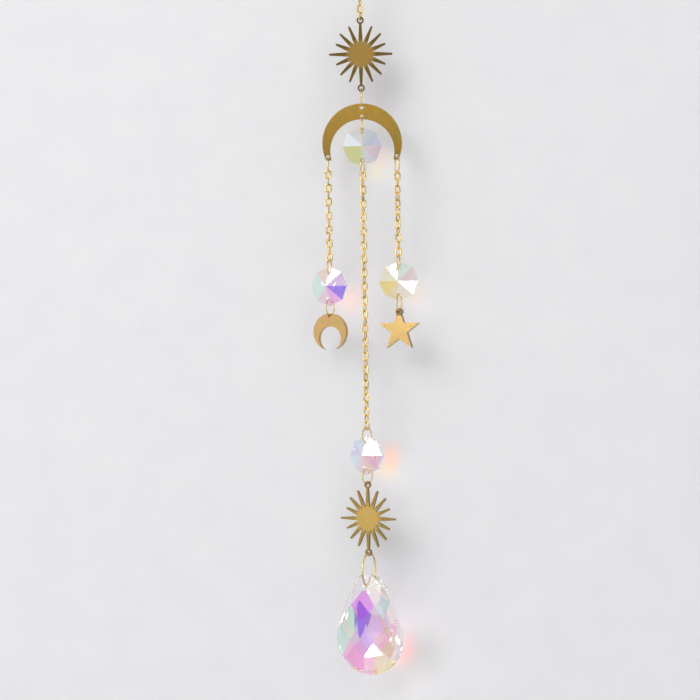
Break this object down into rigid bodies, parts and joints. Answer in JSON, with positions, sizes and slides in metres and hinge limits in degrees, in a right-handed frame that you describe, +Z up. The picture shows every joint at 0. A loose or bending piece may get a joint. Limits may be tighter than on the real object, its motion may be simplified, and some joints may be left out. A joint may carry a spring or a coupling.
{
  "type": "crystal suncatcher",
  "caption": "Hanging suncatcher: brass sun, arch, moon and star charms and faceted clear crystals on fine cable chain and jump rings, with a large crystal drop at the bottom.",
  "frame": {"origin": "the inner top of the hanging ring, where a hook or nail bears", "axes": "+Z up along the hanging column, charms face -Y, +X to the right as seen from the front"},
  "size_m": [0.0405, 0.018, 0.285],
  "materials": {
    "raw_brass": "flat unlacquered brass sheet, finely brushed",
    "pale_brass": "satin pale brass",
    "polished_brass": "bright polished brass",
    "gold_tone_wire": "bright gold-tone plated wire",
    "crystal": "clear cut glass with an iridescent coating"
  },
  "bodies": {
    "root": {"hanging_ring": "gold_tone_wire", "top_chain": "gold_tone_wire", "upper_sun": "raw_brass", "ring_sun_to_arch": "gold_tone_wire", "arch": "raw_brass", "ring_arch_to_crystal": "gold_tone_wire", "upper_crystal": "crystal", "ring_crystal_to_chain": "gold_tone_wire", "centre_chain": "gold_tone_wire", "ring_chain_to_crystal": "gold_tone_wire", "lower_crystal": "crystal", "ring_crystal_to_sun": "gold_tone_wire", "lower_sun": "raw_brass", "ring_sun_to_drop": "gold_tone_wire", "drop_crystal": "crystal", "ring_left_arch_to_chain": "gold_tone_wire", "left_chain": "gold_tone_wire", "ring_left_chain_to_crystal": "gold_tone_wire", "left_crystal": "crystal", "ring_left_crystal_to_moon": "gold_tone_wire", "moon": "pale_brass", "ring_right_arch_to_chain": "gold_tone_wire", "right_chain": "gold_tone_wire", "ring_right_chain_to_crystal": "gold_tone_wire", "right_crystal": "crystal", "ring_right_crystal_to_star": "gold_tone_wire", "star": "polished_brass"}
  },
  "joints": []
}
